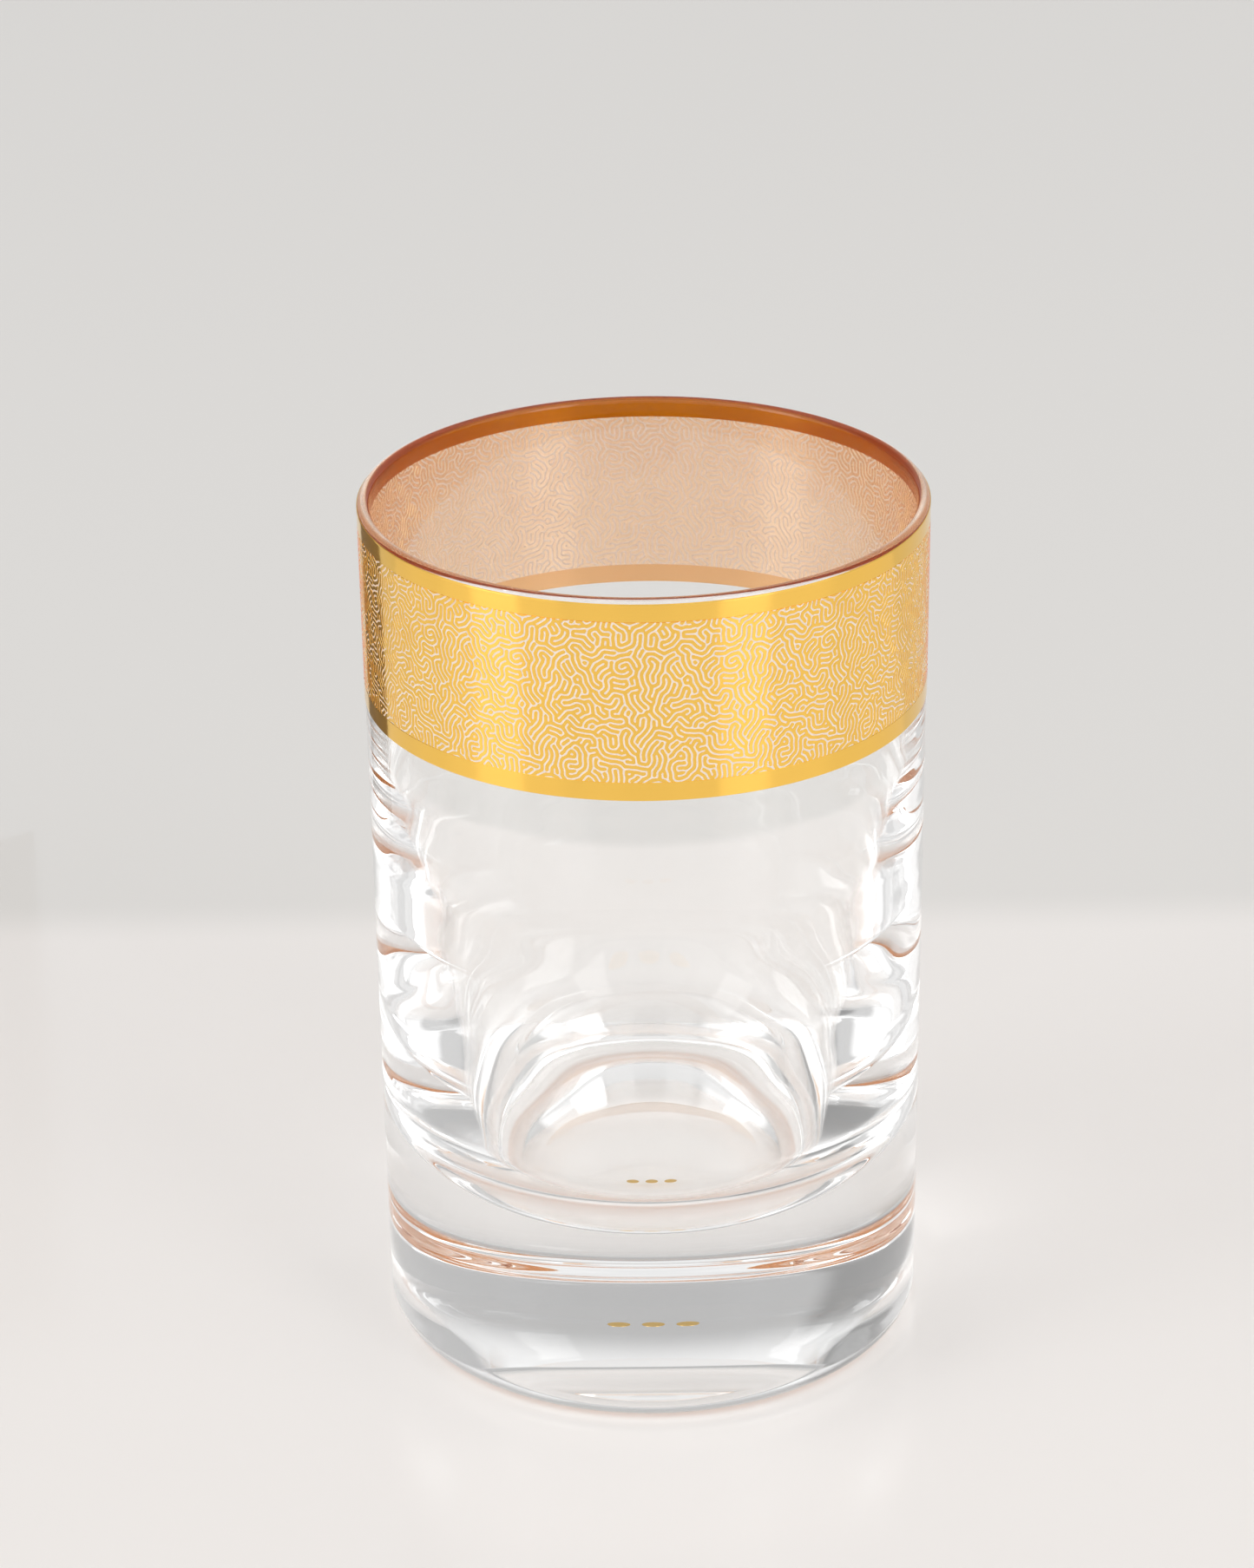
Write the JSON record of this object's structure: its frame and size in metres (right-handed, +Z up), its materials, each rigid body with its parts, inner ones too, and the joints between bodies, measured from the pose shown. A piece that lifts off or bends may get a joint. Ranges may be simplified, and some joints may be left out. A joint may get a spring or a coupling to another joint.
{
  "type": "shot glass",
  "caption": "Straight-sided clear shot glass with a thick base, a tapering hollow and a fired gold border of fine maze lines under the rim.",
  "frame": {"origin": "middle of the foot, on the surface that the glass stands on", "axes": "+Z up along the axis of the glass, towards the rim; X and Y across it, with the row of gold dots under the base along X"},
  "size_m": [0.0461, 0.046, 0.0735],
  "materials": {
    "clear_glass": "fire-polished, clear",
    "fired_gold": "thin fired gold, bright, slightly satin"
  },
  "bodies": {
    "root": {"glass_body": "clear_glass", "upper_gold_line": "fired_gold", "labyrinth_band": "fired_gold", "lower_gold_line": "fired_gold", "base_mark": "fired_gold"}
  },
  "joints": []
}
